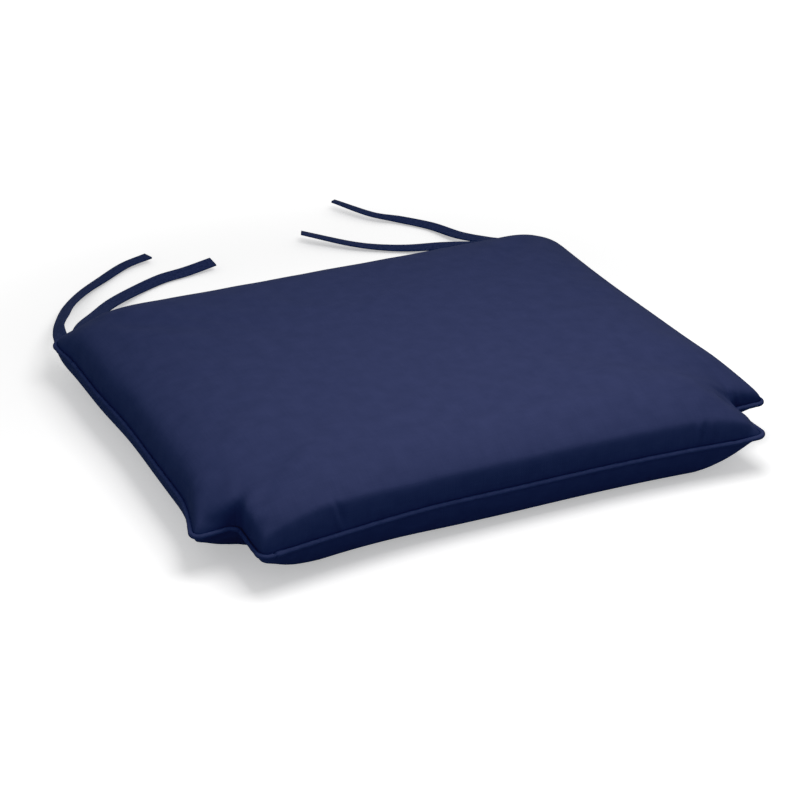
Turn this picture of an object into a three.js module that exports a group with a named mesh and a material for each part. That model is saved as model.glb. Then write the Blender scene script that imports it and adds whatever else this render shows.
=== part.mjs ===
import * as THREE from 'three';

// A dining chair's seat cushion with four ties, in millimetres, +Z up, its front towards -Y.
// The origin is on the surface that the cushion rests on, below the middle of its seam.

// The seam's outline, along the centre of the welt.
const WIDTH = 508;
const DEPTH = 420;
const NOTCH_WIDTH = 35;
const NOTCH_DEPTH = 49;

// How far the filling draws in the middle of each edge. A higher power keeps the curve
// level for longer before it turns out to the corner.
const FRONT_BOW = { depth: 13, power: 2.5 };
const BACK_BOW = { depth: 9, power: 2.2 };
const SIDE_BOW = { depth: 12, backPower: 1.8, frontPower: 5 };

// The filled body. CROWN and UNDERSIDE are measured from the seam, and the underside is
// cut level where it meets the surface. DOME is the share of the crown lost at the edges,
// SHOULDER the distance from the seam at which the full height is reached, and BULGE how
// far the lower wall stands out past the seam.
const SEAM_HEIGHT = 36;
const CROWN = 45;
const DOME = 0.08;
const UNDERSIDE = 40;
const SHOULDER = 60;
const SHOULDER_POWER = 0.4;
const BULGE = 5;
const CENTRE_Y = 10;
const RINGS = 11;
const BODY_STEP = 14;

// The covered cord in the seam, and its gap to the body.
const WELT_RADIUS = 2.6;
const WELT_SIDES = 8;
const WELT_STEP = 11;
const WELT_GAP = 0.6;

// The tape of the ties.
const TAPE_WIDTH = 12.5;
const TAPE_THICKNESS = 1.8;
const TAPE_STEPS = 18;

// The outline's corners on the right, from the front edge round to the back edge.
const CORNERS = [
  { name: 'front corner', x: WIDTH / 2 - NOTCH_WIDTH, y: -DEPTH / 2, radius: 9 },
  { name: 'notch corner', x: WIDTH / 2 - NOTCH_WIDTH, y: -DEPTH / 2 + NOTCH_DEPTH, radius: 8 },
  { name: 'side corner', x: WIDTH / 2, y: -DEPTH / 2 + NOTCH_DEPTH, radius: 9 },
  { name: 'back corner', x: WIDTH / 2, y: DEPTH / 2, radius: 14 },
];

// How much flatter the top and the underside are at each corner, and how far that is felt.
const PINCHES = {
  'front corner': { top: 0.6, under: 0.55, reach: 65 },
  'notch corner': { top: 0.5, under: 0.3, reach: 50 },
  'side corner': { top: 0.4, under: 0.5, reach: 55 },
  'back corner': { top: 0.4, under: 0.6, reach: 65 },
};

// Each tie leaves the back seam near a corner and falls to the surface behind the cushion.
// x, y and z run along the middle of the tape, and lean is its tilt from lying flat, in degrees.
const TIE_ROUTES = {
  tie_left_outer: [
    { x: -245, y: 213, z: 36, lean: -15 },
    { x: -238, y: 244, z: 31, lean: -36 },
    { x: -222, y: 288, z: 22, lean: -26 },
    { x: -203, y: 330, z: 13, lean: -14 },
    { x: -177, y: 370, z: 6, lean: -7 },
    { x: -152, y: 394, z: 4, lean: -6 },
    { x: -118, y: 422, z: 4, lean: -5 },
    { x: -91, y: 429, z: 6, lean: 0 },
  ],
  tie_left_inner: [
    { x: -231, y: 214, z: 36, lean: 0 },
    { x: -215, y: 245, z: 29, lean: 0 },
    { x: -190, y: 283, z: 20, lean: 8 },
    { x: -163, y: 320, z: 12, lean: 16 },
    { x: -127, y: 356, z: 5, lean: 22 },
    { x: -95, y: 375, z: 4, lean: 20 },
    { x: -69, y: 378, z: 5, lean: 18 },
    { x: -38, y: 382, z: 8, lean: 12 },
  ],
  tie_right_outer: [
    { x: 245, y: 212.7, z: 36, lean: 0 },
    { x: 240, y: 256, z: 25, lean: 0 },
    { x: 231, y: 302, z: 13, lean: 0 },
    { x: 219, y: 341, z: 8, lean: -4 },
    { x: 207, y: 387, z: 4, lean: 0 },
    { x: 185, y: 415, z: 5, lean: 4 },
    { x: 163, y: 434, z: 8, lean: 8 },
    { x: 137, y: 477, z: 12, lean: 20 },
  ],
  tie_right_inner: [
    { x: 231, y: 212.4, z: 36, lean: 0 },
    { x: 222, y: 252, z: 24, lean: 0 },
    { x: 208, y: 292, z: 13, lean: 0 },
    { x: 189, y: 322, z: 7, lean: 0 },
    { x: 159, y: 342, z: 4, lean: 0 },
    { x: 134, y: 356, z: 4, lean: 6 },
    { x: 111, y: 371, z: 6, lean: 10 },
    { x: 72, y: 407, z: 12, lean: 18 },
  ],
};

// Where a point of the flat outline comes to lie once the edges are drawn in.
function drawnIn(x, y) {
  const across = x / (WIDTH / 2);
  const deep = y / (DEPTH / 2);
  const frontShare = Math.min(Math.abs(x) / (WIDTH / 2 - NOTCH_WIDTH), 1);
  const edgeBow = y < 0
    ? FRONT_BOW.depth * (1 - frontShare ** FRONT_BOW.power)
    : BACK_BOW.depth * (1 - Math.min(Math.abs(across), 1) ** BACK_BOW.power);
  const sideMiddle = NOTCH_DEPTH / 2;
  const sideShare = (y - sideMiddle) / (DEPTH / 2 - sideMiddle);
  const sidePower = sideShare < 0 ? SIDE_BOW.frontPower : SIDE_BOW.backPower;
  const sideBow = SIDE_BOW.depth * (1 - Math.min(Math.abs(sideShare), 1) ** sidePower);
  return new THREE.Vector2(x - sideBow * across * Math.abs(across), y - edgeBow * deep * Math.abs(deep));
}

// The outline with rounded corners, anticlockwise from the front edge, moved inwards by
// inset, with a point every step along its straight runs.
function outline(inset, step) {
  const mirrored = CORNERS.map((c) => ({ ...c, x: -c.x })).reverse();
  const corners = [...CORNERS, ...mirrored];
  const count = corners.length;
  const arcs = corners.map((corner, i) => {
    const here = new THREE.Vector2(corner.x, corner.y);
    const before = corners[(i + count - 1) % count];
    const after = corners[(i + 1) % count];
    const into = new THREE.Vector2(here.x - before.x, here.y - before.y).normalize();
    const out = new THREE.Vector2(after.x - here.x, after.y - here.y).normalize();
    const turn = Math.sign(into.cross(out));
    const radius = corner.radius - turn * inset;
    const centre = here.clone().addScaledVector(into, -corner.radius).addScaledVector(out, corner.radius);
    const start = Math.atan2(-turn * into.x, turn * into.y);
    return Array.from({ length: 5 }, (_, k) => {
      const angle = start + (turn * Math.PI * k) / 8;
      return new THREE.Vector2(centre.x + radius * Math.cos(angle), centre.y + radius * Math.sin(angle));
    });
  });
  const loop = [];
  arcs.forEach((arc, i) => {
    loop.push(...arc);
    const end = arc[arc.length - 1];
    const next = arcs[(i + 1) % count][0];
    const pieces = Math.max(1, Math.round(end.distanceTo(next) / step));
    for (let k = 1; k < pieces; k += 1) {
      loop.push(end.clone().lerp(next, k / pieces));
    }
  });
  return loop;
}

function distanceToLoop(point, loop) {
  const nearest = new THREE.Vector3();
  const at = new THREE.Vector3(point.x, point.y, 0);
  let least = Infinity;
  loop.forEach((corner, i) => {
    const next = loop[(i + 1) % loop.length];
    const edge = new THREE.Line3(
      new THREE.Vector3(corner.x, corner.y, 0),
      new THREE.Vector3(next.x, next.y, 0),
    );
    edge.closestPointToPoint(at, true, nearest);
    least = Math.min(least, nearest.distanceTo(at));
  });
  return least;
}

// The share of its full height that the filling reaches at a point of the plan.
function fullness(point, rim, side) {
  const reach = Math.min(distanceToLoop(point, rim) / SHOULDER, 1);
  let share = (1 - (1 - reach) ** 2) ** SHOULDER_POWER;
  for (const corner of CORNERS) {
    const pinch = PINCHES[corner.name];
    const away = Math.hypot(Math.abs(point.x) - corner.x, point.y - corner.y);
    share *= 1 - pinch[side] * (1 - THREE.MathUtils.smoothstep(away, 0, pinch.reach));
  }
  return share;
}

function closedGeometry(positions, triangles) {
  const geometry = new THREE.BufferGeometry();
  geometry.setAttribute('position', new THREE.Float32BufferAttribute(positions, 3));
  geometry.setIndex(triangles);
  geometry.computeVertexNormals();
  return geometry;
}

// The body: rings from the seam in to the middle over the top, and the same underneath.
function cushionGeometry() {
  const rim = outline(WELT_RADIUS + WELT_GAP, BODY_STEP);
  const centre = new THREE.Vector2(0, CENTRE_Y);
  const positions = [];
  const triangles = [];
  const place = (point, z) => {
    const flat = drawnIn(point.x, point.y);
    positions.push(flat.x, flat.y, z);
    return positions.length / 3 - 1;
  };
  const seam = rim.map((point) => place(point, SEAM_HEIGHT));
  const panel = (side, height, bulge) => {
    const top = side === 'top';
    let outer = seam;
    for (let ring = 1; ring < RINGS; ring += 1) {
      const inner = rim.map((point) => {
        const at = point.clone().lerp(centre, (ring / RINGS) ** 2);
        const share = fullness(at, rim, side);
        const outwards = at.clone().sub(centre).normalize();
        at.addScaledVector(outwards, 4 * bulge * share * (1 - share));
        return place(at, height(share, at));
      });
      inner.forEach((_, i) => {
        const next = (i + 1) % inner.length;
        const quad = [outer[i], outer[next], inner[next], outer[i], inner[next], inner[i]];
        triangles.push(...(top ? quad : quad.reverse()));
      });
      outer = inner;
    }
    const middle = place(centre, height(fullness(centre, rim, side), centre));
    outer.forEach((from, i) => {
      const to = outer[(i + 1) % outer.length];
      triangles.push(...(top ? [from, to, middle] : [to, from, middle]));
    });
  };
  const dome = ({ x, y }) => 1 - DOME * ((2 * x / WIDTH) ** 2 + (2 * (y - CENTRE_Y) / DEPTH) ** 2);
  panel('top', (share, at) => SEAM_HEIGHT + CROWN * dome(at) * share, 0);
  panel('under', (share) => Math.max(0, SEAM_HEIGHT - UNDERSIDE * share), BULGE);
  return closedGeometry(positions, triangles);
}

// A ring or strip swept along frames, each with an origin and two axes for its section.
function sweep(frames, section, closed) {
  const positions = [];
  const triangles = [];
  const sides = section.length;
  for (const { origin, across, up } of frames) {
    for (const [a, b] of section) {
      const point = origin.clone().addScaledVector(across, a).addScaledVector(up, b);
      positions.push(point.x, point.y, point.z);
    }
  }
  const spans = closed ? frames.length : frames.length - 1;
  for (let i = 0; i < spans; i += 1) {
    const here = i * sides;
    const next = ((i + 1) % frames.length) * sides;
    for (let k = 0; k < sides; k += 1) {
      const l = (k + 1) % sides;
      triangles.push(here + k, next + k, next + l, here + k, next + l, here + l);
    }
  }
  if (!closed) {
    const last = spans * sides;
    for (let k = 1; k < sides - 1; k += 1) {
      triangles.push(0, k, k + 1);
      triangles.push(last, last + k + 1, last + k);
    }
  }
  return closedGeometry(positions, triangles);
}

// The welt: a round cord along the whole seam, in and out of both notches.
function weltGeometry() {
  const loop = outline(0, WELT_STEP).map((point) => drawnIn(point.x, point.y));
  const section = Array.from({ length: WELT_SIDES }, (_, k) => {
    const angle = (2 * Math.PI * k) / WELT_SIDES;
    return [WELT_RADIUS * Math.cos(angle), WELT_RADIUS * Math.sin(angle)];
  });
  const frames = loop.map((point, i) => {
    const before = loop[(i + loop.length - 1) % loop.length];
    const after = loop[(i + 1) % loop.length];
    const along = after.clone().sub(before).normalize();
    return {
      origin: new THREE.Vector3(point.x, point.y, SEAM_HEIGHT),
      across: new THREE.Vector3(along.y, -along.x, 0),
      up: new THREE.Vector3(0, 0, 1),
    };
  });
  return sweep(frames, section, true);
}

// A tie: flat tape with eased edges along its route.
function tieGeometry(route) {
  const curve = new THREE.CatmullRomCurve3(
    route.map(({ x, y, z }) => new THREE.Vector3(x, y, z)),
    false,
    'centripetal',
  );
  const w = TAPE_WIDTH / 2;
  const t = TAPE_THICKNESS / 2;
  const section = [
    [w, 0.3 * t], [w - t, t], [t - w, t], [-w, 0.3 * t],
    [-w, -0.3 * t], [t - w, -t], [w - t, -t], [w, -0.3 * t],
  ];
  const frames = Array.from({ length: TAPE_STEPS + 1 }, (_, i) => {
    const share = i / TAPE_STEPS;
    const place = curve.getUtoTmapping(share) * (route.length - 1);
    const from = Math.min(Math.floor(place), route.length - 2);
    const lean = THREE.MathUtils.lerp(route[from].lean, route[from + 1].lean, place - from);
    const along = curve.getTangentAt(share);
    const level = new THREE.Vector3(along.y, -along.x, 0).normalize();
    const across = level.clone().applyAxisAngle(along, THREE.MathUtils.degToRad(lean));
    return {
      origin: curve.getPointAt(share),
      across,
      up: new THREE.Vector3().crossVectors(across, along).normalize(),
    };
  });
  return sweep(frames, section, false);
}

const navyCanvas = new THREE.MeshStandardMaterial({ color: 0x2c3357, roughness: 0.8, metalness: 0 });
const navyWelt = new THREE.MeshStandardMaterial({ color: 0x262d50, roughness: 0.8, metalness: 0 });
const navyTape = new THREE.MeshStandardMaterial({ color: 0x20274a, roughness: 0.85, metalness: 0 });

const chairCushion = new THREE.Group();

function add(name, geometry, material) {
  const mesh = new THREE.Mesh(geometry, material);
  mesh.name = name;
  chairCushion.add(mesh);
}

add('cushion', cushionGeometry(), navyCanvas);
add('welt', weltGeometry(), navyWelt);
for (const [name, route] of Object.entries(TIE_ROUTES)) {
  add(name, tieGeometry(route), navyTape);
}

export default chairCushion;
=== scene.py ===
"""A dining chair's seat cushion with four ties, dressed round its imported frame."""

import math

import bpy
import numpy as np
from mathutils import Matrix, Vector


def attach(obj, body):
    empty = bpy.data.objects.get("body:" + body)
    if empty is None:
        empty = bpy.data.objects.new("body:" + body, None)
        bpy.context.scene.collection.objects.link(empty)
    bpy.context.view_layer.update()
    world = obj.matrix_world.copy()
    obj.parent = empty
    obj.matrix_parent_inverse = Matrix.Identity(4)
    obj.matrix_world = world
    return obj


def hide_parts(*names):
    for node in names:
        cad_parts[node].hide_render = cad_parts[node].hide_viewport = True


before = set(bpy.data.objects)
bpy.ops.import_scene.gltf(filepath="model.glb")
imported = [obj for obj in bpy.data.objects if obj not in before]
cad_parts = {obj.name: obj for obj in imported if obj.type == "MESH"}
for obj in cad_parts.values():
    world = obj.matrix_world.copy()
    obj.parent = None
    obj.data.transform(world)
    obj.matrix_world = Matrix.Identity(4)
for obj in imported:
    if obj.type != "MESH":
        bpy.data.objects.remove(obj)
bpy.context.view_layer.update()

# Sizes are in millimetres until a mesh is made. X runs to the right, the front is towards -Y
# and the origin is on the floor below the middle of the seam.
MM = 0.001

# The seam's outline along the centre of the welt, as cut.
WIDTH = 508.0
DEPTH = 420.0
NOTCH_WIDTH = 35.0
NOTCH_DEPTH = 49.0
CORNER_RADII = {"front": 9.0, "notch": 8.0, "side": 9.0, "back": 14.0}

# How far the filling draws in the middle of each edge, and the power of its curve. The sides
# have one for their front half and one for their back half.
FRONT_BOW = (13.0, 2.5)
BACK_BOW = (9.0, 2.2)
SIDE_BOW = 12.0
SIDE_BOW_POWERS = (5.0, 1.8)

# The seam's height over the floor, the middle that the filling bulges from, and how finely the
# outline is worked out.
SEAM_HEIGHT = 36.0
CENTRE_Y = 10.0
OUTLINE_STEP = 0.5


# Camera, floor and light

# The photographed view, found by laying the seam over it: the point that the camera looks at,
# where it stands round that in degrees and millimetres, and its focal length in pixels.
VIEW_TARGET = (-21.8, -26.27, 36.0)
VIEW_AZIMUTH = -25.2446
VIEW_ELEVATION = 26.9818
VIEW_DISTANCE = 1643.4
FOCAL_PIXELS = 1959.79
FRAME_PIXELS = 800
SENSOR_WIDTH = 36.0


def camera():
    """The photographed view: a long lens from the front left, a little above."""
    azimuth, elevation = math.radians(VIEW_AZIMUTH), math.radians(VIEW_ELEVATION)
    back = Vector(
        (
            math.sin(azimuth) * math.cos(elevation),
            -math.cos(azimuth) * math.cos(elevation),
            math.sin(elevation),
        )
    )
    data = bpy.data.cameras.new("camera")
    data.sensor_width = SENSOR_WIDTH
    data.lens = FOCAL_PIXELS / FRAME_PIXELS * SENSOR_WIDTH
    data.clip_start, data.clip_end = 0.05, 60.0
    made = bpy.data.objects.new("camera", data)
    bpy.context.scene.collection.objects.link(made)
    made.location = Vector(VIEW_TARGET) * MM + back * VIEW_DISTANCE * MM
    made.rotation_euler = (-back).to_track_quat("-Z", "Y").to_euler()
    bpy.context.scene.camera = made


# The studio, in metres and watts: how wide the paper is, how strongly it glows with painted light
# under the cushion and away from it, the distances between which that grows, and the strength of
# the sky.
FLOOR_ACROSS = 24.0
PAPER_GLOW = (0.39, 0.9)
GLOW_GROWS = (0.35, 0.9)
SKY_STRENGTH = 0.385

# Where each lamp stands, its width and power, and the point that it faces.
LAMPS = {
    "key": ((0.04, -0.2, 0.7), 0.5, 3.35, (0.04, -0.2, 0.0)),
    "fill": ((-1.94, -1.55, 0.13), 1.5, 5.8, (0.0, 0.0, 0.0)),
}


def soft_light(name, place, size, power, aim):
    """A square lamp at a place in metres, turned to face a point."""
    data = bpy.data.lights.new(name, "AREA")
    data.shape = "SQUARE"
    data.size = size
    data.energy = power
    made = bpy.data.objects.new(name, data)
    bpy.context.scene.collection.objects.link(made)
    made.location = place
    made.rotation_euler = (Vector(place) - Vector(aim)).to_track_quat("Z", "Y").to_euler()


def floor_sheet(name, height, material):
    """A square sheet of paper centred under the cushion; height in metres."""
    mesh = bpy.data.meshes.new(name)
    half = FLOOR_ACROSS / 2
    square = ((-half, -half), (half, -half), (half, half), (-half, half))
    mesh.from_pydata([(x, y, height) for x, y in square], [], [(0, 1, 2, 3)])
    mesh.materials.append(material)
    made = bpy.data.objects.new(name, mesh)
    bpy.context.scene.collection.objects.link(made)
    return made


def paper(name, grey):
    """Matt paper of an even grey, and its shader."""
    made = bpy.data.materials.new(name)
    made.use_nodes = True
    shader = made.node_tree.nodes["Principled BSDF"]
    shader.inputs["Base Color"].default_value = (grey, grey, grey, 1)
    shader.inputs["Roughness"].default_value = 0.9
    shader.inputs["Specular IOR Level"].default_value = 0.0
    return made, shader


def studio():
    """White paper, a pale sky, one near lamp overhead and a weak low one at the front left."""
    white, shader = paper("white_paper", 0.9)
    # the paper glows with painted light, and more so away from the cushion, so that it is white to
    # the horizon;
    # the weaker glow near the cushion leaves the floor round it darker, as painted shade
    nodes, links = white.node_tree.nodes, white.node_tree.links
    place = nodes.new("ShaderNodeTexCoord")
    away = nodes.new("ShaderNodeVectorMath")
    away.operation = "LENGTH"
    glow = nodes.new("ShaderNodeMapRange")
    glow.interpolation_type = "SMOOTHSTEP"
    glow.inputs["From Min"].default_value, glow.inputs["From Max"].default_value = GLOW_GROWS
    glow.inputs["To Min"].default_value, glow.inputs["To Max"].default_value = PAPER_GLOW
    links.new(place.outputs["Object"], away.inputs[0])
    links.new(away.outputs["Value"], glow.inputs["Value"])
    links.new(glow.outputs["Result"], shader.inputs["Emission Strength"])
    shader.inputs["Emission Color"].default_value = (1, 1, 1, 1)
    floor = floor_sheet("floor", 0.0, white)
    floor.visible_diffuse = floor.visible_glossy = False
    # what the cushion sees below it is a second, duller sheet, so that its walls stay dark
    dull, _ = paper("dull_paper", 0.85)
    below = floor_sheet("floor_bounce", -0.002, dull)
    below.visible_camera = below.visible_shadow = False

    world = bpy.data.worlds.new("studio")
    world.use_nodes = True
    sky = world.node_tree.nodes["Background"]
    sky.inputs["Color"].default_value = (1, 1, 1, 1)
    sky.inputs["Strength"].default_value = SKY_STRENGTH
    bpy.context.scene.world = world
    for name, lamp in LAMPS.items():
        soft_light(name, *lamp)


# The photograph's darks: how much light red, green and blue lose to them, how softly that
# begins, the darkest tone, and the lights at which the curve bends.
DARK_LEVELS = (0.0181, 0.0137, 0.0112)
DARK_SOFTNESS = 0.003
DARKEST = 0.0022
DARK_LIGHTS = (0.004, 0.008, 0.012, 0.016, 0.02, 0.024, 0.032, 0.04, 0.08)


def print_tone():
    """Standard view with the darks drawn down in a soft toe, as in the photograph."""
    view = bpy.context.scene.view_settings
    view.view_transform = "Standard"
    view.use_curve_mapping = True
    for curve, level in zip(view.curve_mapping.curves, DARK_LEVELS):
        curve.points[0].location = (0.0, DARKEST)
        for light in DARK_LIGHTS:
            toe = math.log1p(math.exp((light - level) / DARK_SOFTNESS))
            curve.points.new(light, DARKEST + DARK_SOFTNESS * toe)
        for point in curve.points:
            point.handle_type = "VECTOR"
    view.curve_mapping.update()


# Mesh helpers


def mesh_object(name, points, faces, material, uv):
    """A smooth-shaded object at the origin from points in millimetres, with its cloth's UV map."""
    mesh = bpy.data.meshes.new(name)
    mesh.from_pydata((np.asarray(points) * MM).tolist(), [], faces)
    layer = mesh.uv_layers.new(name="cloth")
    layer.data.foreach_set("uv", np.asarray(uv, np.float32).ravel())
    mesh.materials.append(material)
    mesh.update()
    mesh.polygons.foreach_set("use_smooth", [True] * len(faces))
    made = bpy.data.objects.new(name, mesh)
    bpy.context.scene.collection.objects.link(made)
    return made


def unit(vectors):
    return vectors / np.maximum(np.linalg.norm(vectors, axis=-1, keepdims=True), 1e-9)


def run_along(points):
    """The distance of each point from the first, along the line through them."""
    return np.insert(np.cumsum(np.linalg.norm(np.diff(points, axis=0), axis=1)), 0, 0)


def smoothstep(low, high, value):
    """From 0 at low to 1 at high, level at both ends; high may be the smaller."""
    t = np.clip((value - low) / (high - low), 0, 1)
    return t * t * (3 - 2 * t)


# The ties

# The tapes' section, the steps along each, and the points round its edges and steps over its
# flats.
TAPE_WIDTH = 13.5
TAPE_THICKNESS = 2.2
TAPE_STEPS = 120
TAPE_EDGE_POINTS = 7
TAPE_FLAT_STEPS = 8

# The ties on the right are snipped askew: how far the end leans for each millimetre across the
# tape, and the length at the end over which that comes in.
SNIP = {"tie_right_outer": 0.36, "tie_right_inner": 0.36}
SNIP_RUN = 40.0

# x, y, z and lean in degrees along the middle of each tape, from inside the back seam to its
# free end.
TIE_ROUTES = {
    "tie_left_outer": [
        (-245, 208.5, 36, -20),
        (-237.5, 244, 31, -38),
        (-221, 288, 22, -22),
        (-202.5, 330, 13, -20),
        (-176.5, 370, 6, -12),
        (-152, 394, 4, -6),
        (-117.5, 420.3, 4.5, -2),
        (-91, 429, 6, 0),
    ],
    "tie_left_inner": [
        (-231, 207.5, 36, -8),
        (-215, 245, 29, -5),
        (-190, 283, 20, 2),
        (-163, 320, 12, 10),
        (-127, 355, 5, 14),
        (-95.5, 371.5, 4.5, 18),
        (-69, 377, 5, 18),
        (-38, 382.5, 8, 16),
    ],
    "tie_right_outer": [
        (245, 208.5, 36, -10),
        (240, 256, 26.5, -10),
        (231, 302, 14.5, -6),
        (219, 339.5, 8, -8),
        (207, 385, 4.2, -8),
        (185, 415, 4.4, -5),
        (163, 432.5, 7, 6),
        (136, 478.5, 11, 16),
    ],
    "tie_right_inner": [
        (231, 207.5, 36, -14),
        (222, 252, 29, -13),
        (208, 291, 17, -13),
        (189, 320, 8.5, -12),
        (159, 339.5, 4.2, -5),
        (134, 354.3, 4, 1),
        (111, 369, 6, 6),
        (69.5, 409, 11, 12),
    ],
}


# How many places a span of a line between two knots is worked out at.
SPAN_PLACES = 40


def spline(points, steps):
    """A smooth line through points: evenly spaced places, their shares of knots, its length."""
    points = np.asarray(points, float)
    first = 2 * points[0] - points[1]
    last = 2 * points[-1] - points[-2]
    knots = np.vstack([first, points, last])
    dense, shares = [], []
    for i in range(len(points) - 1):
        p0, p1, p2, p3 = knots[i : i + 4]
        d0, d1, d2 = (
            max(np.linalg.norm(b[:3] - a[:3]) ** 0.5, 1e-4)
            for a, b in ((p0, p1), (p1, p2), (p2, p3))
        )
        t1 = (p1 - p0) / d0 - (p2 - p0) / (d0 + d1) + (p2 - p1) / d1
        t2 = (p2 - p1) / d1 - (p3 - p1) / (d1 + d2) + (p3 - p2) / d2
        t1, t2 = t1 * d1, t2 * d1
        u = np.linspace(0, 1, SPAN_PLACES, endpoint=i == len(points) - 2)[:, None]
        dense.append(
            p1
            + t1 * u
            + (3 * (p2 - p1) - 2 * t1 - t2) * u**2
            + (2 * (p1 - p2) + t1 + t2) * u**3
        )
        shares.append(i + u[:, 0])
    dense, shares = np.vstack(dense), np.concatenate(shares)
    run = run_along(dense)
    even = np.linspace(0, run[-1], steps + 1)
    places = np.stack([np.interp(even, run, dense[:, k]) for k in range(3)], 1)
    return places, np.interp(even, run, shares), run[-1]


def tie(name, route, material):
    """One tie: flat tape with rounded edges along its route, cut off at both ends."""
    route = np.asarray(route, float)
    places, knots, length = spline(route[:, :3], TAPE_STEPS)
    lean = np.radians(np.interp(knots, np.arange(len(route)), route[:, 3]))
    along = unit(np.gradient(places, axis=0))
    level = unit(np.stack([along[:, 1], -along[:, 0], np.zeros(len(along))], 1))
    cos, sin = np.cos(lean)[:, None], np.sin(lean)[:, None]
    # across is level turned about the tape's own direction by its lean
    across = level * cos + np.cross(along, level) * sin
    up = unit(np.cross(across, along))
    section = tape_section(TAPE_WIDTH / 2, TAPE_THICKNESS / 2)
    count = len(section)
    run = np.linspace(0, length, TAPE_STEPS + 1)
    slant = SNIP.get(name, 0.0) * smoothstep(length - SNIP_RUN, length, run)
    points = (
        places[:, None, :]
        + across[:, None, :] * section[None, :, 0, None]
        + up[:, None, :] * section[None, :, 1, None]
        + along[:, None, :] * (slant[:, None] * section[None, :, 0])[..., None]
    ).reshape(-1, 3)
    faces, uv = [], []
    around = run_along(np.vstack([section, section[:1]])) * MM
    for i in range(TAPE_STEPS):
        a, b = i * length / TAPE_STEPS * MM, (i + 1) * length / TAPE_STEPS * MM
        for k in range(count):
            j = (k + 1) % count
            faces.append((i * count + k, (i + 1) * count + k, (i + 1) * count + j, i * count + j))
            uv += [(a, around[k]), (b, around[k]), (b, around[k + 1]), (a, around[k + 1])]
    for ring, order in ((0, 1), (TAPE_STEPS, -1)):
        faces.append([ring * count + k for k in range(count)][::order])
        uv += [(y * MM, x * MM) for x, y in section[::order]]
    made = mesh_object(name + "_tape", points, faces, material, uv)
    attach(made, "root")
    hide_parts(name)


def tape_section(half, thick):
    """Half rounds joined by flats, clockwise seen along the tape."""
    turn = np.linspace(math.pi / 2, -math.pi / 2, TAPE_EDGE_POINTS)
    right = np.stack([half - thick + thick * np.cos(turn), thick * np.sin(turn)], 1)
    left = -right
    flat = np.linspace(-1, 1, TAPE_FLAT_STEPS + 1)[1:-1, None]
    bottom = np.hstack([-flat * (half - thick), np.full_like(flat, -thick)])
    top = np.hstack([flat * (half - thick), np.full_like(flat, thick)])
    return np.vstack([right, bottom, left, top])


# The outline


def corners():
    """The outline's corners anticlockwise from the front right: x, y, radius."""
    in_x, in_y = WIDTH / 2 - NOTCH_WIDTH, -DEPTH / 2 + NOTCH_DEPTH
    right = [
        (in_x, -DEPTH / 2, CORNER_RADII["front"]),
        (in_x, in_y, CORNER_RADII["notch"]),
        (WIDTH / 2, in_y, CORNER_RADII["side"]),
        (WIDTH / 2, DEPTH / 2, CORNER_RADII["back"]),
    ]
    return right + [(-x, y, r) for x, y, r in reversed(right)]


def drawn_in(points):
    """Where points of the flat outline come to lie once the filling draws the edges in."""
    x, y = points[..., 0], points[..., 1]
    across, deep = x / (WIDTH / 2), y / (DEPTH / 2)
    front = 1 - np.minimum(np.abs(x) / (WIDTH / 2 - NOTCH_WIDTH), 1) ** FRONT_BOW[1]
    rear = 1 - np.minimum(np.abs(across), 1) ** BACK_BOW[1]
    edge = np.where(y < 0, FRONT_BOW[0] * front, BACK_BOW[0] * rear)
    middle = NOTCH_DEPTH / 2
    share = (y - middle) / (DEPTH / 2 - middle)
    power = np.where(share < 0, *SIDE_BOW_POWERS)
    side = SIDE_BOW * (1 - np.minimum(np.abs(share), 1) ** power)
    moved = points.copy()
    moved[..., 0] = x - side * across * np.abs(across)
    moved[..., 1] = y - edge * deep * np.abs(deep)
    return moved


# Where the sewn seam strays from its even line: x and y, how far it moves along each axis, and
# how far round that is felt.
STRAYS = [
    (-254, -161, -1.6, 0.0, -2.7, 34.0),
    (-252, -112, 1.2, 0.0, 0.0, 26.0),
    (-252, -40, -2.2, 0.0, 0.0, 80.0),
    (-250, 90, -4.2, 0.0, 0.0, 60.0),
    (-254, 188, -1.6, -0.8, 0.0, 16.0),
    (-78, -197, 0.0, 1.0, 0.8, 55.0),
    (217, -206, 1.5, 0.0, 0.0, 25.0),
]

# How much lower the front edge's seam hangs than the rest, and the share of that which is
# lost towards its right end.
FRONT_DROP = 2.6
DROP_LOST = 0.8


def strayed(plan):
    """How far the seam, and the cloth near it, lies from its even line."""
    moved = np.zeros((*plan.shape[:-1], 3))
    kept = 1 - DROP_LOST * smoothstep(190, 222, plan[..., 0])
    moved[..., 2] = -FRONT_DROP * smoothstep(-165, -200, plan[..., 1]) * kept
    for x, y, *shift, reach in STRAYS:
        away = np.hypot(plan[..., 0] - x, plan[..., 1] - y) / reach
        moved += np.exp(-(away**2))[..., None] * np.array(shift)
    return moved


def edge_point(side, run, inset):
    """The point of the rounded outline at a distance along one side, moved inwards."""
    loop = corners()
    count = len(loop)
    here, after = loop[side], loop[(side + 1) % count]
    before, beyond = loop[side - 1], loop[(side + 2) % count]

    def heading(a, b):
        d = np.array([b[0] - a[0], b[1] - a[1]])
        return d / np.linalg.norm(d)

    into, along, onward = heading(before, here), heading(here, after), heading(after, beyond)
    outward = np.array([along[1], -along[0]])
    length = abs(after[0] - here[0]) + abs(after[1] - here[1])
    point = np.array(here[:2]) + along * run - outward * inset

    def on_arc(corner, first, second, share):
        turn = np.sign(first[0] * second[1] - first[1] * second[0])
        radius = corner[2] - turn * inset
        centre = np.array(corner[:2]) - first * corner[2] + second * corner[2]
        start = math.atan2(-turn * first[0], turn * first[1])
        angle = start + turn * math.pi / 4 * share
        return centre + radius * np.array([math.cos(angle), math.sin(angle)])

    if run < here[2]:
        return on_arc(here, into, along, 1 + run / here[2])
    if run > length - after[2]:
        return on_arc(after, along, onward, (run - (length - after[2])) / after[2])
    return point


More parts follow.
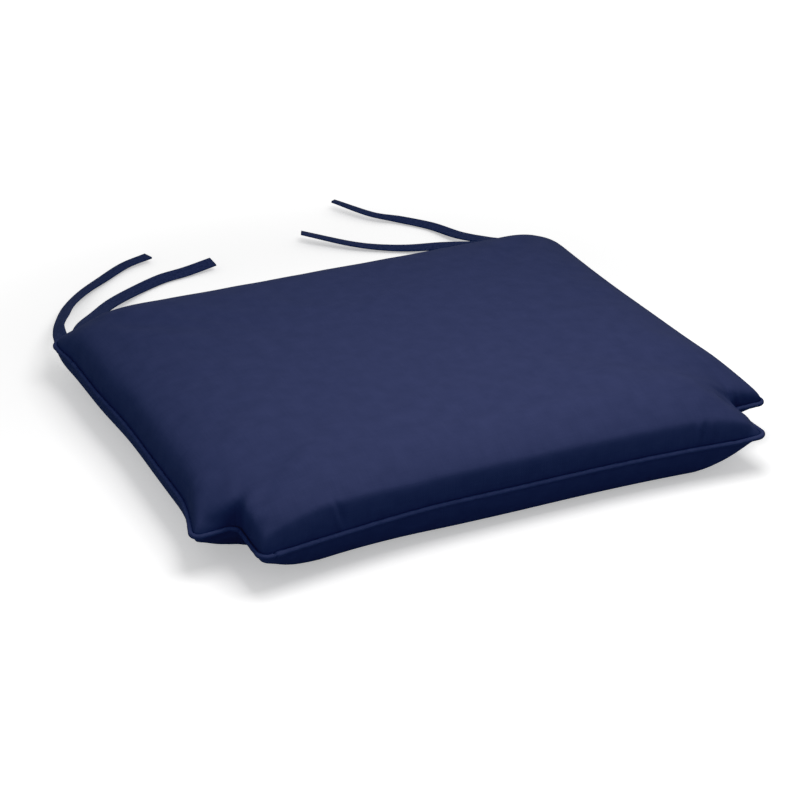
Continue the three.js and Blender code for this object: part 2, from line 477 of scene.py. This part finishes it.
def seam_loop(step):
    """The seam's centre line as it lies, evenly spaced, and its length in plan."""
    loop = corners()
    dense = []
    for side, (here, after) in enumerate(zip(loop, loop[1:] + loop[:1])):
        length = abs(after[0] - here[0]) + abs(after[1] - here[1])
        for run in np.arange(0, length, OUTLINE_STEP):
            dense.append(edge_point(side, run, 0.0))
    dense = drawn_in(np.array(dense))
    closed = np.vstack([dense, dense[:1]])
    run = run_along(closed)
    count = int(round(run[-1] / step))
    even = np.linspace(0, run[-1], count, endpoint=False)
    plan = np.stack([np.interp(even, run, closed[:, k]) for k in range(2)], 1)
    level = np.column_stack([plan, np.full(count, SEAM_HEIGHT)])
    return level + strayed(plan), run[-1]


# The welt

WELT_RADIUS = 2.05
WELT_SIDES = 16
WELT_STEP = 0.75

# How uneven the cord's thickness is, its height and how far out it lies.
UNEVEN_RADIUS = 0.09
UNEVEN_HEIGHT = 0.15
UNEVEN_REACH = 0.12

# Where its covering is joined, in plan. It is doubled for a few millimetres beside the join,
# and drawn in on the join itself.
WELT_JOINS = [(-208, -208), (-252, 158)]
JOIN_DOUBLED = 0.4
JOIN_RUN = 4
JOIN_DRAWN_IN = 1.1


def wander(run, length, seed, amount):
    """A small unevenness along a closed seam: every ninth of the waves of 8 to 60 mm on it."""
    phases = np.random.default_rng(seed)
    total = np.zeros_like(run)
    for waves in range(int(length / 60), int(length / 8), 9):
        total += np.sin(2 * math.pi * (waves * run / length + phases.random()))
    return amount * total / np.abs(total).max()


def welt(material):
    """The covered cord along the whole seam."""
    loop, length = seam_loop(WELT_STEP)
    count = len(loop)
    run = np.arange(count) * length / count
    along = unit((np.roll(loop, -1, 0) - np.roll(loop, 1, 0))[:, :2])
    outward = np.stack([along[:, 1], -along[:, 0]], 1)
    radius = WELT_RADIUS + wander(run, length, seed=3, amount=UNEVEN_RADIUS)
    for place in WELT_JOINS:
        away = run - run[np.hypot(*(loop[:, :2] - place).T).argmin()]
        radius += JOIN_DOUBLED * np.exp(-(((away - JOIN_RUN) / JOIN_RUN) ** 2))
        radius -= JOIN_DRAWN_IN * np.exp(-(away**2))
    loop[:, 2] += wander(run, length, seed=4, amount=UNEVEN_HEIGHT)
    loop[:, :2] += outward * wander(run, length, seed=5, amount=UNEVEN_REACH)[:, None]
    turn = np.linspace(0, 2 * math.pi, WELT_SIDES, endpoint=False)
    points = np.zeros((count, WELT_SIDES, 3))
    reach = radius[:, None] * np.cos(turn)
    points[..., :2] = loop[:, None, :2] + outward[:, None] * reach[..., None]
    points[..., 2] = loop[:, 2, None] + radius[:, None] * np.sin(turn)
    faces, uv = [], []
    girth = 2 * math.pi * WELT_RADIUS
    for i in range(count):
        here, after = i * WELT_SIDES, (i + 1) % count * WELT_SIDES
        a, b = i * length / count * MM, (i + 1) * length / count * MM
        for k in range(WELT_SIDES):
            j = (k + 1) % WELT_SIDES
            faces.append((here + k, after + k, after + j, here + j))
            c, d = k / WELT_SIDES * girth * MM, (k + 1) / WELT_SIDES * girth * MM
            uv += [(a, c), (b, c), (b, d), (a, d)]
    made = mesh_object("welt_cord", points.reshape(-1, 3), faces, material, uv)
    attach(made, "root")
    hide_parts("welt")


# The body

# The body's edge lies inside the welt. The crown and the underside are measured from the seam,
# the dome is the share of the crown that is lost towards the edges, and the underside is cut
# level where it meets the floor, a little rounded.
RIM_INSET = 1.2
CROWN = 45.0
DOME = 0.08
UNDERSIDE = 40.0
SOLE_ROUNDING = 2.0

# The gap between the lines of warp and weft that the body is modelled on, and the finest gap,
# at its edges; the same for the trial that the filling is settled in.
BODY_LINES = (6.5, 0.4)
TRIAL_LINES = (6.0, 2.5)


def graded(low, high, step, fine_low, fine_high, grading=1.35):
    """Lines from low to high, about step apart and closer together towards a fine end."""

    def ramp(fine):
        if not fine:
            return []
        sizes = []
        while fine < step:
            sizes.append(fine)
            fine *= grading
        return sizes

    first, last = ramp(fine_low), ramp(fine_high)[::-1]
    left = (high - low) - sum(first) - sum(last)
    if left < step:
        shrink = (high - low) / (sum(first) + sum(last) + step)
        sizes = [s * shrink for s in [*first, step, *last]]
    else:
        middle = max(1, round(left / step))
        sizes = [*first, *[left / middle] * middle, *last]
    return low + np.concatenate([[0], np.cumsum(sizes)])


# Where the front edge has narrow pleats and the lines across the panel lie closer: x, how far
# either way, and the gap.
PLEATED = [(-156, 10, 1.8), (164, 12, 2.0)]

# What is nearer than this is on the line, and how many times the rounded outline is spread
# inwards over the lines.
ON_LINE = 1e-6
PLAN_PASSES = 400


class Panel:
    """The lines of warp and weft that both panels are modelled on, in the flat."""

    def __init__(self, step, fine, pleated=()):
        in_x, in_y = WIDTH / 2 - NOTCH_WIDTH, -DEPTH / 2 + NOTCH_DEPTH
        middle = graded(-in_x, in_x, step, fine, fine)
        outer = graded(in_x, WIDTH / 2, step, fine, fine)
        self.xs = np.concatenate([-outer[::-1][:-1], middle, outer[1:]])
        front = graded(-DEPTH / 2, in_y, step, fine, fine)
        rest = graded(in_y, DEPTH / 2, step, fine, fine)
        self.ys = np.concatenate([front, rest[1:]])
        for at, reach, gap in pleated:
            kept = self.xs[np.abs(self.xs - at) > reach + gap / 2]
            self.xs = np.sort(np.concatenate([kept, np.arange(at - reach, at + reach + 0.1, gap)]))
        self.flat = np.stack(np.meshgrid(self.xs, self.ys, indexing="ij"), -1)
        x, y = self.flat[..., 0], self.flat[..., 1]
        self.inside = ~((np.abs(x) > in_x + ON_LINE) & (y < in_y - ON_LINE))
        open_to_air = (
            (np.abs(x) > WIDTH / 2 - ON_LINE)
            | (np.abs(y) > DEPTH / 2 - ON_LINE)
            | ((np.abs(x) > in_x - ON_LINE) & (y < in_y + ON_LINE))
        )
        self.rim = self.inside & open_to_air
        self.in_x, self.in_y = in_x, in_y
        cell = (
            self.inside[:-1, :-1]
            & self.inside[1:, :-1]
            & self.inside[1:, 1:]
            & self.inside[:-1, 1:]
        )
        mid_x, mid_y = (self.xs[1:] + self.xs[:-1]) / 2, (self.ys[1:] + self.ys[:-1]) / 2
        cut = (np.abs(mid_x)[:, None] > in_x) & (mid_y[None, :] < in_y)
        self.cells = cell & ~cut
        self.plan = self.place()

    def side_of(self, x, y):
        """Which side of the outline a rim point is on, by the corner before it, and how far."""
        if y < -DEPTH / 2 + ON_LINE:
            return 7, x + self.in_x
        if y < self.in_y - ON_LINE:
            return (0, y + DEPTH / 2) if x > 0 else (6, self.in_y - y)
        if y < self.in_y + ON_LINE and abs(x) > self.in_x - ON_LINE:
            return (1, x - self.in_x) if x > 0 else (5, x + WIDTH / 2)
        if y > DEPTH / 2 - ON_LINE:
            return 3, WIDTH / 2 - x
        return (2, y - self.in_y) if x > 0 else (4, DEPTH / 2 - y)

    def place(self):
        """The lines bent to the rounded, drawn-in outline."""
        shift = np.zeros_like(self.flat)
        for i, j in zip(*np.nonzero(self.rim)):
            x, y = self.flat[i, j]
            shift[i, j] = edge_point(*self.side_of(x, y), RIM_INSET) - (x, y)
        plan = drawn_in(self.flat + self.spread(shift, PLAN_PASSES))
        return plan + strayed(plan)[..., :2]

    def spread(self, field, passes):
        """A field made even inside the rim, which keeps its own values."""
        field = field.copy()
        inner = (self.inside & ~self.rim)[1:-1, 1:-1, None]
        for _ in range(passes):
            mean = (field[2:, 1:-1] + field[:-2, 1:-1] + field[1:-1, 2:] + field[1:-1, :-2]) / 4
            field[1:-1, 1:-1] = np.where(inner, mean, field[1:-1, 1:-1])
        return field


# Folds of the top: points along each with how far the cloth stands out there (below nought
# where it is drawn in), and the fold's half width. Each is pressed in at a few places along it.
FOLD_PLACES = 20
TOP_FOLDS = [
    # at the left notch: the ridges in front of the hollow and of the pocket, the one over the
    # lobe behind, and the dip beside the lobe's tip
    ([(-210, -174, 44, 2.5), (-204, -172, 54, 3.5), (-196, -170, 61, 1.0)], 3.6),
    ([(-218, -203, 42, 1.5), (-212, -201, 49, 3.0), (-203, -198, 57, 1.5)], 5.0),
    ([(-240, -156, 42, 0.5), (-236, -152, 53, 1.6), (-228, -144, 62, 0.8)], 6.0),
    ([(-243, -157, 43, -1.0), (-238, -158, 43, -1.2)], 4.0),
    # the pleat in the front, left of the middle
    ([(-160, -200, 62, 0.8), (-156, -202, 52, 2.2), (-152, -202, 39, 1.6)], 1.9),
    ([(-158, -200, 62, -0.8), (-153.5, -202, 52, -2.6), (-149.5, -202, 39, -2.0)], 2.3),
    ([(-181, -206, 46, 0.9), (-176, -206, 40, 0.6)], 4.0),
    # the right tab lies lower, with a valley behind it, pleats beyond and a flat tip
    ([(206, -177, 58, -4.0), (190, -167, 68, -1.5)], 13.0),
    ([(197, -162, 64, -1.0), (205, -163, 57, -3.2), (213, -163, 50, -2.6)], 4.5),
    ([(216, -201, 42, -3.4), (211, -204, 44, -2.6)], 6.0),
    ([(223, -160, 38, -0.8), (222, -158, 48, -2.2)], 2.2),
    ([(231, -161, 38, -0.8), (230, -158, 47, -2.0)], 2.0),
    ([(227, -161, 38, 0.8), (226, -158, 48, 1.4)], 1.8),
    # small pleats in the front, near its right end
    ([(154, -204, 38, -0.4), (154, -203, 54, -1.0)], 2.6),
    ([(160, -204, 38, 0.8), (159, -203, 55, 1.5)], 2.4),
    ([(165, -205, 38, -0.8), (165, -204, 53, -1.4)], 2.4),
    ([(171, -205, 38, 0.8), (171, -204, 54, 1.2)], 2.6),
]
UNDER_FOLDS = [
    # the underside hangs lower inside the left notch and stands out round the left tab
    ([(-232, -128, 10, 3.0), (-205, -140, 8, 6.0)], 22.0),
    ([(-216, -204, 31, 2.5), (-195, -203, 26, 1.5)], 7.0),
]

# How the filling rises from each edge of the top: the share of its height that stands up as a
# wall, the distance over which that turns and how sharply, and the distance and power of the
# slower crown.
TOP_RISES = {
    "side": (0.55, 3.6, 1.0, 70, 2.2),
    "back": (0.45, 2.4, 1.2, 56, 2.3),
    "front": (0.46, 2.6, 2.2, 54, 2.3),
    "notch": (0.45, 2.4, 1.2, 66, 2.2),
}
# The same, downwards, of the underside.
UNDER_RISES = {
    "side": (0.42, 2.5, 1.5, 62, 2.0),
    "back": (0.42, 2.5, 1.5, 62, 2.0),
    "front": (0.51, 4.8, 1.3, 52, 2.0),
    "notch": (0.14, 2.5, 1.5, 58, 1.7),
}


def edge_distances(panel):
    """How far each point of the flat panel is from each kind of edge."""
    x, y = panel.flat[..., 0], panel.flat[..., 1]
    return {
        "side": WIDTH / 2 - np.abs(x),
        "back": DEPTH / 2 - y,
        "front": y + DEPTH / 2,
        "notch": np.hypot(np.maximum(panel.in_x - np.abs(x), 0), np.maximum(y - panel.in_y, 0)),
    }


def fullness(panel, rises, walls, corner_share):
    """The share of its full height that the filling reaches, 0 on the seam.

    Walls adds to the share of a kind of edge that stands up as a wall, and the corner share says
    how far two edges that meet both hold the filling down.
    """
    shares = []
    for edge, away in edge_distances(panel).items():
        wall, foot, turn, reach, power = rises[edge]
        wall = wall + walls.get(edge, 0.0)
        crown = 1 - (1 - np.clip(away / reach, 0, 1)) ** power
        shares.append(wall * (1 - np.exp(-((away / foot) ** turn))) + (1 - wall) * crown)
    product = np.multiply.reduce(shares)
    least = np.minimum.reduce(shares)
    share = least ** (1 - corner_share) * product**corner_share
    share[panel.rim] = 0
    return share


def upright(away, push, foot, reach):
    """How far lines at a distance from an edge move towards it where the wall stands upright."""
    return push * ((1 - np.exp(-((away / foot) ** 1.5))) * np.exp(-((away / reach) ** 2)))


# The left notch's wall is steepest in a hollow at the back of its arch, which lies across this
# slanting direction in plan, and in a pocket half way along the tab beside it: the middle and
# the half width of each.
HOLLOW_ACROSS = (0.9045, -0.4265)
HOLLOW = (-125.0, 18.0)
POCKET = (-188.0, 7.5)

# The back corner on the left is thinly filled: how much is missing, and how far round.
THIN_CORNER = (0.45, 32)

# Where the top's walls differ from TOP_RISES: the share that is added at the left end of the
# front, in the hollow and in the pocket.
WALL_MORE = {"front": 0.1, "hollow": 0.24, "pocket": 0.32}

# The share that is taken off: all round the left notch, at the tip of the lobe behind it, all
# round the right notch, at the tab in front of that, and on the right side.
WALL_LESS = {"left": 0.06, "lobe": 0.12, "right": 0.04, "tab": 0.2, "side": 0.08}

# The share that is taken off the underside's walls, towards the left end of the front, and on
# the sides but for their back ends.
UNDER_WALL_LESS = {"front": 0.2, "side": 0.06}

# Where a wall of the top stands upright over the welt: how far the cloth is pushed out, how
# near the seam that begins, and how far in it is felt.
FRONT_UPRIGHT = (5.5, 2.2, 45)
LOBE_UPRIGHT = (3.0, 2.2, 22)
ARCH_UPRIGHT = (6.0, 2.2, 22)
POCKET_UPRIGHT = (5.0, 2.2, 20)

# How far the underside stands out just below the seam, round the notches; what is added to that
# elsewhere, on the sides, and at the front and back; and four times what its belly adds there.
FLUSH_LEAST = 0.8
FLUSH_ADDED = (1.0, 2.2)
BELLY = (2.0, 3.0)


def left_notch(x, y):
    """How far each point belongs to the hollow and to the pocket of the left notch."""
    across = HOLLOW_ACROSS[0] * x + HOLLOW_ACROSS[1] * y
    hollow = np.exp(-(((across - HOLLOW[0]) / HOLLOW[1]) ** 4)) * (x < 0)
    hollow *= smoothstep(-180, -174, y)
    pocket = np.exp(-(((y - POCKET[0]) / POCKET[1]) ** 2)) * (x < 0)
    return hollow, pocket


def crowned(panel, seam):
    """The top before its filling settles: its walls, its crown and where the walls lean out."""
    x, y = panel.plan[..., 0], panel.plan[..., 1]
    away = edge_distances(panel)
    hollow, pocket = left_notch(x, y)
    left_lobe = smoothstep(-230, -244, x)
    right_tab = smoothstep(-155, -175, y)
    walls = {
        "front": WALL_MORE["front"] * smoothstep(-60, -170, x),
        "notch": np.where(
            x < 0,
            WALL_MORE["hollow"] * hollow
            + WALL_MORE["pocket"] * pocket
            - WALL_LESS["left"]
            - WALL_LESS["lobe"] * left_lobe,
            -(WALL_LESS["right"] + WALL_LESS["tab"] * right_tab) * smoothstep(0, 100, x),
        ),
        "side": -WALL_LESS["side"] * smoothstep(0, 100, x),
    }
    share = fullness(panel, TOP_RISES, walls, corner_share=0.9)
    corner = np.hypot(panel.flat[..., 0] + WIDTH / 2, panel.flat[..., 1] - DEPTH / 2)
    share *= 1 - THIN_CORNER[0] * np.exp(-((corner / THIN_CORNER[1]) ** 2))
    dome = 1 - DOME * ((2 * x / WIDTH) ** 2 + (2 * (y - CENTRE_Y) / DEPTH) ** 2)
    rise = (SEAM_HEIGHT + CROWN * dome - seam) * share

    # the front's wall stands upright over the welt, and so do the notches' back walls
    stand = upright(away["front"], *FRONT_UPRIGHT) * smoothstep(-5, 30, away["notch"])
    push = outwards(panel) * stand[..., None]
    behind = np.maximum(panel.flat[..., 1] - panel.in_y, 0)
    lobe = upright(behind, *LOBE_UPRIGHT) * smoothstep(panel.in_x - 6, panel.in_x + 2, x)
    push += lobe[..., None] * [0, -1]
    arch = upright(away["notch"], *ARCH_UPRIGHT) * hollow
    round_tab = smoothstep(-160, -176, y)
    push += arch[..., None] * np.dstack([-0.3 - 0.5 * round_tab, -0.95 + 0.4 * round_tab])
    beside = upright(away["notch"], *POCKET_UPRIGHT) * pocket
    push += beside[..., None] * [-0.9, -0.4]
    return np.dstack([panel.plan + push, seam + rise])


def bellied(panel, seam):
    """The underside before its filling settles, level where it lies on the floor."""
    x, y = panel.plan[..., 0], panel.plan[..., 1]
    away = edge_distances(panel)
    walls = {
        "front": -UNDER_WALL_LESS["front"] * smoothstep(-40, -150, x),
        "side": -UNDER_WALL_LESS["side"] * smoothstep(160, 60, y),
    }
    corner_share = 1.0 - 0.5 * smoothstep(0, -100, x)
    share = fullness(panel, UNDER_RISES, walls, corner_share)
    sole = seam - UNDERSIDE * share
    sole = 0.5 * (sole + np.sqrt(sole**2 + SOLE_ROUNDING**2))
    # below the seam the cloth comes straight out to the welt, except round the notches
    full = smoothstep(4, 40, away["notch"])
    by_side = away["side"] < np.minimum(away["front"], away["back"])
    flush = np.where(by_side, *FLUSH_ADDED) * full
    bulge = (FLUSH_LEAST + flush) * np.clip(share / 0.02, 0, 1) * (1 - share) ** 0.7
    bulge += np.where(by_side, *BELLY) * share * (1 - share)
    return np.dstack([panel.plan + outwards(panel) * bulge[..., None], sole])


def outwards(panel):
    """The direction in plan from the cushion's middle."""
    return unit(panel.flat - np.array([0, CENTRE_Y]))


def shell(panel):
    """Both panels' points on the same lines, before the filling settles: top and underside."""
    seam = SEAM_HEIGHT + strayed(panel.plan)[..., 2]
    return crowned(panel, seam), bellied(panel, seam)


def threads(grid):
    """How far each point lies from the middle of its panel along the warp and the weft."""
    run = []
    for axis in (0, 1):
        steps = np.linalg.norm(np.diff(grid, axis=axis), axis=-1)
        along = np.insert(np.cumsum(steps, axis=axis), 0, 0, axis=axis)
        middle = np.take(along, [grid.shape[axis] // 2], axis=axis)
        run.append(along - middle)
    return np.stack(run, -1)


def facing(panel, grid):
    """The direction that a panel's cloth faces at each point; upwards on a flat one."""
    face = np.cross(grid[1:, 1:] - grid[:-1, :-1], grid[:-1, 1:] - grid[1:, :-1])
    face *= panel.cells[..., None]
    total = np.zeros_like(grid)
    for corner in (np.s_[:-1, :-1], np.s_[1:, :-1], np.s_[1:, 1:], np.s_[:-1, 1:]):
        total[corner] += face
    return unit(total)


def folded(panel, grid, folds, side):
    """The cloth with folds pressed into it, or raised on it, along lines near its surface."""
    outward = facing(panel, grid) * side
    moved = grid.copy()
    for line, width in folds:
        line = np.asarray(line, float)
        places, knots, _ = spline(line[:, :3], FOLD_PLACES)
        depths = np.interp(knots, np.arange(len(line)), line[:, 3])
        away = np.linalg.norm(grid[:, :, None] - places, axis=-1)
        nearest = away.argmin(-1)
        reach = np.take_along_axis(away, nearest[..., None], -1)[..., 0] / width
        moved += outward * (depths[nearest] * np.exp(-(reach**2)))[..., None]
    moved[panel.rim] = grid[panel.rim]
    return moved


def sewn(panel, top, low):
    """The closed body's points, faces and cloth coordinates, and where each line's points are."""
    count = int(panel.inside.sum())
    top_index = -np.ones(panel.inside.shape, int)
    top_index[panel.inside] = np.arange(count)
    low_index = top_index.copy()
    below = panel.inside & ~panel.rim
    low_index[below] = count + np.arange(below.sum())
    points = np.vstack([top[panel.inside], low[below]])
    faces, uv = [], []
    top_run, low_run = threads(top) * MM, threads(low) * MM
    for i, j in zip(*np.nonzero(panel.cells)):
        square = [(i, j), (i + 1, j), (i + 1, j + 1), (i, j + 1)]
        faces.append([int(top_index[s]) for s in square])
        uv += [tuple(top_run[s]) for s in square]
        square.reverse()
        faces.append([int(low_index[s]) for s in square])
        uv += [tuple(low_run[s]) for s in square]
    return points, faces, uv, top_index, low_index


# The trial: how many frames the filling settles for, and how much the cloth is cut larger.
TRIAL_FRAMES = 20
CLOTH_SPARE = -0.02

# What is taken from it: how broad a form counts as the panel's own, in passes; the share of the
# smaller creases that is kept; the furthest that one moves the cloth; and the distances from the
# seam between which they come in, because the walls by the seam stay as they were formed.
BROAD_PASSES = 60
CREASE_SHARE = 0.3
CREASE_LIMIT = 2.5
CREASE_FREE = (12, 55)


def settled(panel, top, low):
    """How far the cloth of each panel moves when the filling presses on it, seam held."""
    points, faces, _, top_index, low_index = sewn(panel, top, low)
    mesh = bpy.data.meshes.new("trial")
    mesh.from_pydata((points * MM).tolist(), [], faces)
    trial = bpy.data.objects.new("trial", mesh)
    scene = bpy.context.scene
    scene.collection.objects.link(trial)
    seam = trial.vertex_groups.new(name="seam")
    seam.add(top_index[panel.rim].tolist(), 1.0, "REPLACE")
    cloth = trial.modifiers.new("cloth", "CLOTH")
    settings = cloth.settings
    settings.quality = 8
    settings.mass = 0.3
    settings.tension_stiffness = settings.compression_stiffness = 15
    settings.shear_stiffness = 8
    settings.bending_stiffness = 2
    settings.use_pressure = True
    settings.uniform_pressure_force = 4
    settings.shrink_min = CLOTH_SPARE
    settings.vertex_group_mass = "seam"
    settings.effector_weights.gravity = 0
    cloth.collision_settings.use_collision = False
    for step in range(TRIAL_FRAMES):
        scene.frame_set(step + 1)
    ready = trial.evaluated_get(bpy.context.evaluated_depsgraph_get())
    after = np.zeros(len(points) * 3, np.float32)
    ready.data.vertices.foreach_get("co", after)
    moved = after.reshape(-1, 3) / MM - points
    bpy.data.objects.remove(trial)
    scene.frame_set(1)

    nearest_edge = np.minimum.reduce(list(edge_distances(panel).values()))
    free = smoothstep(*CREASE_FREE, nearest_edge)[..., None]
    fields = []
    for index in (top_index, low_index):
        field = np.zeros((*panel.inside.shape, 3))
        field[panel.inside] = moved[index[panel.inside]]
        field = (field - panel.spread(field, BROAD_PASSES)) * free * CREASE_SHARE
        reach = np.linalg.norm(field, axis=-1, keepdims=True)
        fields.append(field * np.minimum(1, CREASE_LIMIT / np.maximum(reach, 1e-6)))
    return fields


def between(coarse, fine):
    """Weights that read a row of values at coarse lines off at fine lines, smoothly."""
    weights = np.zeros((len(fine), len(coarse)))
    last = len(coarse) - 1
    for row, at in enumerate(fine):
        i = int(np.clip(np.searchsorted(coarse, at) - 1, 0, last - 1))
        t = float(np.clip((at - coarse[i]) / (coarse[i + 1] - coarse[i]), 0, 1))
        cubic = (
            (-t + 2 * t * t - t**3) / 2,
            (2 - 5 * t * t + 3 * t**3) / 2,
            (t + 4 * t * t - 3 * t**3) / 2,
            (t**3 - t * t) / 2,
        )
        for k, w in zip(range(i - 1, i + 3), cubic):
            weights[row, min(max(k, 0), last)] += w
    return weights


def body(material):
    """The filled body: top and underside on the same lines, joined at the seam."""
    panel = Panel(*BODY_LINES, PLEATED)
    top, low = shell(panel)
    coarse = Panel(*TRIAL_LINES)
    fields = settled(coarse, *shell(coarse))
    across, along = between(coarse.xs, panel.xs), between(coarse.ys, panel.ys)
    for grid, field in zip((top, low), fields):
        grid += np.einsum("ai,ijk,bj->abk", across, field, along)
    top = folded(panel, top, TOP_FOLDS, 1)
    low = folded(panel, low, UNDER_FOLDS, -1)
    points, faces, uv, _, _ = sewn(panel, top, low)
    points[:, 2] = np.maximum(points[:, 2], 0)
    made = mesh_object("cushion_body", points, faces, material, uv)
    modifier = made.modifiers.new("smooth", "SUBSURF")
    modifier.levels = modifier.render_levels = 1
    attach(made, "root")
    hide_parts("cushion")


# Materials

NAVY = (0.043, 0.0476, 0.1117)
TAPE_NAVY = (0.0392, 0.0439, 0.103)


def woven(name, pitch, turn, slubs, patches, colour=NAVY):
    """Plain-woven canvas: a small bump at each crossing and yarns that vary a little.

    The pitch is the distance between yarns in metres, the turn that of the weave on the piece,
    slubs how much the tone varies either way and patches how finely it changes.
    """
    made = bpy.data.materials.new(name)
    made.use_nodes = True
    nodes, links = made.node_tree.nodes, made.node_tree.links
    shader = nodes["Principled BSDF"]
    shader.inputs["Roughness"].default_value = 0.7
    shader.inputs["Specular IOR Level"].default_value = 0.05
    cloth = nodes.new("ShaderNodeUVMap")
    cloth.uv_map = "cloth"
    grain = nodes.new("ShaderNodeMapping")
    grain.inputs["Rotation"].default_value[2] = turn
    links.new(cloth.outputs["UV"], grain.inputs["Vector"])

    def combined(operation, first, second):
        node = nodes.new("ShaderNodeMath")
        node.operation = operation
        for socket, value in zip(node.inputs, (first, second)):
            if isinstance(value, float):
                socket.default_value = value
            else:
                links.new(value, socket)
        return node.outputs["Value"]

    split = nodes.new("ShaderNodeSeparateXYZ")
    links.new(grain.outputs["Vector"], split.inputs["Vector"])
    waves = []
    for axis in ("X", "Y"):
        turns = combined("MULTIPLY", split.outputs[axis], math.pi / pitch)
        wave = nodes.new("ShaderNodeMath")
        wave.operation = "SINE"
        links.new(turns, wave.inputs[0])
        waves.append(wave.outputs["Value"])
    crossing = combined("MULTIPLY", waves[0], waves[1])

    yarns = []
    for stretch in ((45.0, 1 / pitch, 1.0), (1 / pitch, 45.0, 1.0)):
        drawn = nodes.new("ShaderNodeMapping")
        drawn.inputs["Scale"].default_value = stretch
        links.new(grain.outputs["Vector"], drawn.inputs["Vector"])
        yarn = nodes.new("ShaderNodeTexNoise")
        yarn.inputs["Scale"].default_value = 0.8
        yarn.inputs["Detail"].default_value = 2.0
        links.new(drawn.outputs["Vector"], yarn.inputs["Vector"])
        yarns.append(yarn.outputs["Fac"])
    thickness = combined("ADD", yarns[0], yarns[1])
    cloudy = nodes.new("ShaderNodeTexNoise")
    cloudy.inputs["Scale"].default_value = patches
    cloudy.inputs["Detail"].default_value = 3.0
    links.new(grain.outputs["Vector"], cloudy.inputs["Vector"])
    broad = combined("MULTIPLY", cloudy.outputs["Fac"], 2.0)
    tone = combined("MULTIPLY", combined("ADD", thickness, broad), 0.25)

    shades = nodes.new("ShaderNodeMapRange")
    shades.inputs["From Min"].default_value = 0.3
    shades.inputs["From Max"].default_value = 0.7
    links.new(tone, shades.inputs["Value"])
    dye = nodes.new("ShaderNodeMix")
    dye.data_type = "RGBA"
    dye.inputs["A"].default_value = (*(c * (1 - slubs) for c in colour), 1)
    dye.inputs["B"].default_value = (*(c * (1 + slubs) for c in colour), 1)
    links.new(shades.outputs["Result"], dye.inputs["Factor"])
    links.new(dye.outputs["Result"], shader.inputs["Base Color"])

    relief = nodes.new("ShaderNodeBump")
    relief.inputs["Strength"].default_value = 0.25
    relief.inputs["Distance"].default_value = pitch * 0.3
    height = combined("ADD", combined("MULTIPLY", crossing, 0.5), thickness)
    links.new(height, relief.inputs["Height"])
    links.new(relief.outputs["Normal"], shader.inputs["Normal"])
    return made


print_tone()
camera()
studio()
tape = woven("tape_canvas", pitch=0.0009, turn=0.0, slubs=0.4, patches=420.0, colour=TAPE_NAVY)
for tie_name, tie_route in TIE_ROUTES.items():
    tie(tie_name, tie_route, tape)
welt(woven("welt_canvas", pitch=0.0007, turn=math.pi / 4, slubs=0.15, patches=160.0))
body(woven("panel_canvas", pitch=0.0007, turn=0.0, slubs=0.1, patches=70.0))
